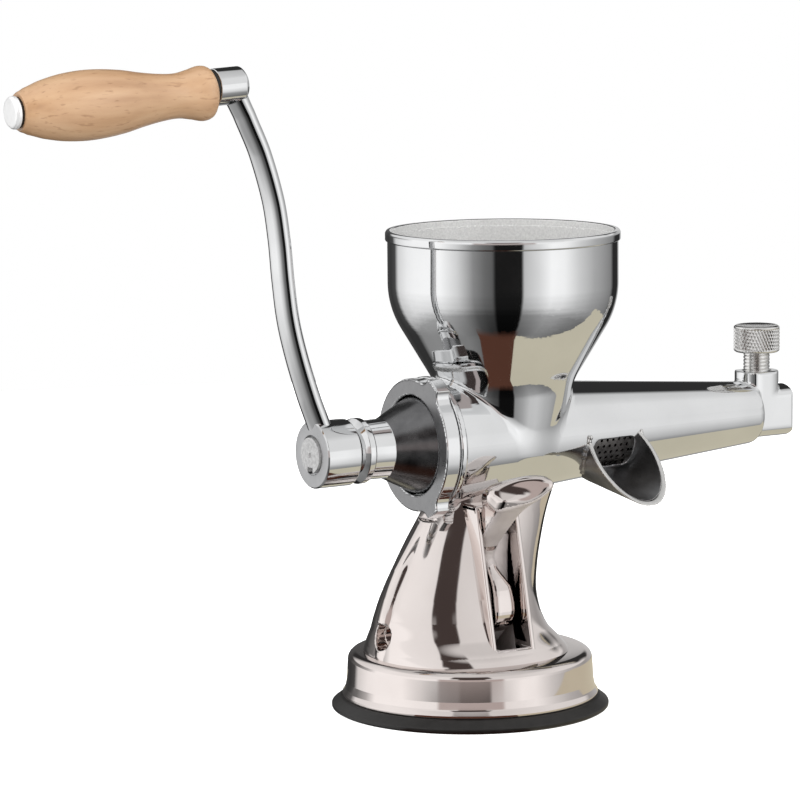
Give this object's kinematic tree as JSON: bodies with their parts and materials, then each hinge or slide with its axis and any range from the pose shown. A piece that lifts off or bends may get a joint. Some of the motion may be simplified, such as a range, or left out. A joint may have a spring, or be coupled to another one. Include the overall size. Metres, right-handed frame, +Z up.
{
  "type": "hand crank juicer",
  "caption": "Steel hand crank juicer with a hopper over a tapered barrel, side juice spout, wooden crank grip, pulp screw and a lever-locked suction base.",
  "frame": {"origin": "on the table plane under the middle of the rubber suction cup", "axes": "+X along the barrel to the pulp nozzle with the crank at -X, -Y toward the juice spout and the lever, +Z up"},
  "size_m": [0.3602, 0.1132, 0.2652],
  "materials": {
    "polished_steel": "polished stainless casting",
    "satin_steel": "satin stainless",
    "plain_steel": "plain zinc steel",
    "warm_nickel": "warm nickel plating",
    "beech": "clear lacquered beech",
    "white_nylon": "plain nylon",
    "white_seal": "soft silicone",
    "black_rubber": "matte rubber"
  },
  "bodies": {
    "frame": {"hopper": "polished_steel", "barrel": "polished_steel", "juice_spout": "polished_steel", "strainer": "satin_steel", "end_cap": "polished_steel", "shaft_bush": "white_nylon", "cap_seal": "white_seal", "pedestal": "warm_nickel", "base_ring": "warm_nickel", "base_screws": "plain_steel", "saddle_bolt": "plain_steel", "lever_pin": "plain_steel", "suction_cup": "black_rubber"},
    "crank": {"crank_hub": "polished_steel", "crank_arm": "polished_steel", "crank_eye": "polished_steel", "grip_spindle": "satin_steel", "grip_washer": "black_rubber", "drive_shaft": "satin_steel", "drive_key": "plain_steel", "auger": "satin_steel"},
    "grip_body": {"grip": "beech"},
    "lever": {"suction_lever": "warm_nickel", "link_pin": "plain_steel"},
    "stem": {"suction_stem": "plain_steel"},
    "screw_carrier": {"screw_seal": "black_rubber"},
    "screw": {"pressure_screw": "satin_steel"},
    "ring": {"lock_ring": "satin_steel"}
  },
  "joints": [
    {"name": "crank_turn", "type": "hinge", "parent": "frame", "child": "crank", "pos_m": [0, 0, 0.1095], "axis": [1, 0, 0], "continuous": true},
    {"name": "grip_spin", "type": "hinge", "parent": "crank", "child": "grip_body", "pos_m": [-0.1087, 0, 0.2549], "axis": [-0.9987, 0, -0.0506], "continuous": true},
    {"name": "lever_swing", "type": "hinge", "parent": "frame", "child": "lever", "pos_m": [0, 0, 0.033], "axis": [1, 0, 0], "range_deg": [0, 45]},
    {"name": "stem_lift", "type": "slide", "parent": "frame", "child": "stem", "axis": [0, 0, 1], "range_m": [-0.00002, 0.00553]},
    {"name": "screw_travel", "type": "slide", "parent": "frame", "child": "screw_carrier", "axis": [0, 0, 1], "range_m": [-0.006, 0.003]},
    {"name": "screw_turn", "type": "hinge", "parent": "screw_carrier", "child": "screw", "pos_m": [0.1439, 0, 0.127], "axis": [0, 0, 1], "range_deg": [-1460, 740]},
    {"name": "ring_turn", "type": "hinge", "parent": "frame", "child": "ring", "pos_m": [-0.023, 0, 0.1095], "axis": [1, 0, 0], "range_deg": [0, 40]}
  ],
  "couplings": [
    {"joint": "stem_lift", "follows": "lever_swing", "m_per_rad": 0.0070164},
    {"joint": "screw_turn", "follows": "screw_travel", "rad_per_m": 4188.8}
  ]
}
